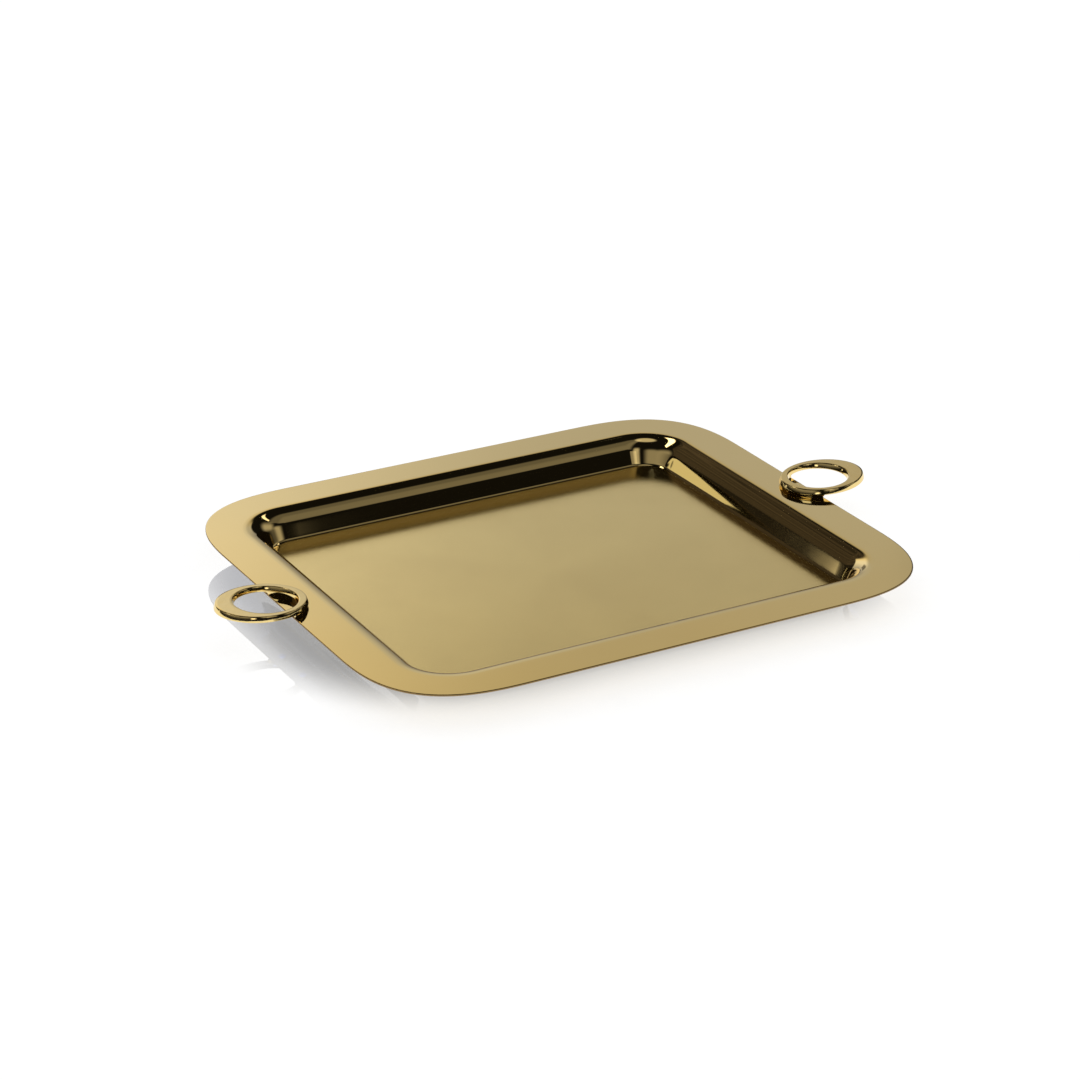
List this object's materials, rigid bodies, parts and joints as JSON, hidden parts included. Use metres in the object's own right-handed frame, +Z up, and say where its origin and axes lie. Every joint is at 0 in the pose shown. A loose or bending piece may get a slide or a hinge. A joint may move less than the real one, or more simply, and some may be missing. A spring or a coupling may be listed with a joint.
{
  "type": "brass serving tray",
  "caption": "Rectangular brass serving tray with a wide polished rim, a sunken satin well and a flat ring handle on each short side.",
  "frame": {"origin": "on the surface the tray stands on, under the middle of the tray", "axes": "+X along the tray from handle to handle, +Y across the tray, +Z up"},
  "size_m": [0.547, 0.389, 0.0346],
  "materials": {
    "pan_brass": "mirror-polished rim and wall, satin floor",
    "handle_brass": "polished",
    "screw_steel": "zinc plated",
    "pad_rubber": "matte"
  },
  "bodies": {
    "root": {"tray_pan": "pan_brass", "handle_left": "handle_brass", "handle_right": "handle_brass", "screw_left_front": "screw_steel", "screw_left_back": "screw_steel", "screw_right_front": "screw_steel", "screw_right_back": "screw_steel", "pad_left_front": "pad_rubber", "pad_left_back": "pad_rubber", "pad_right_front": "pad_rubber", "pad_right_back": "pad_rubber"}
  },
  "joints": []
}
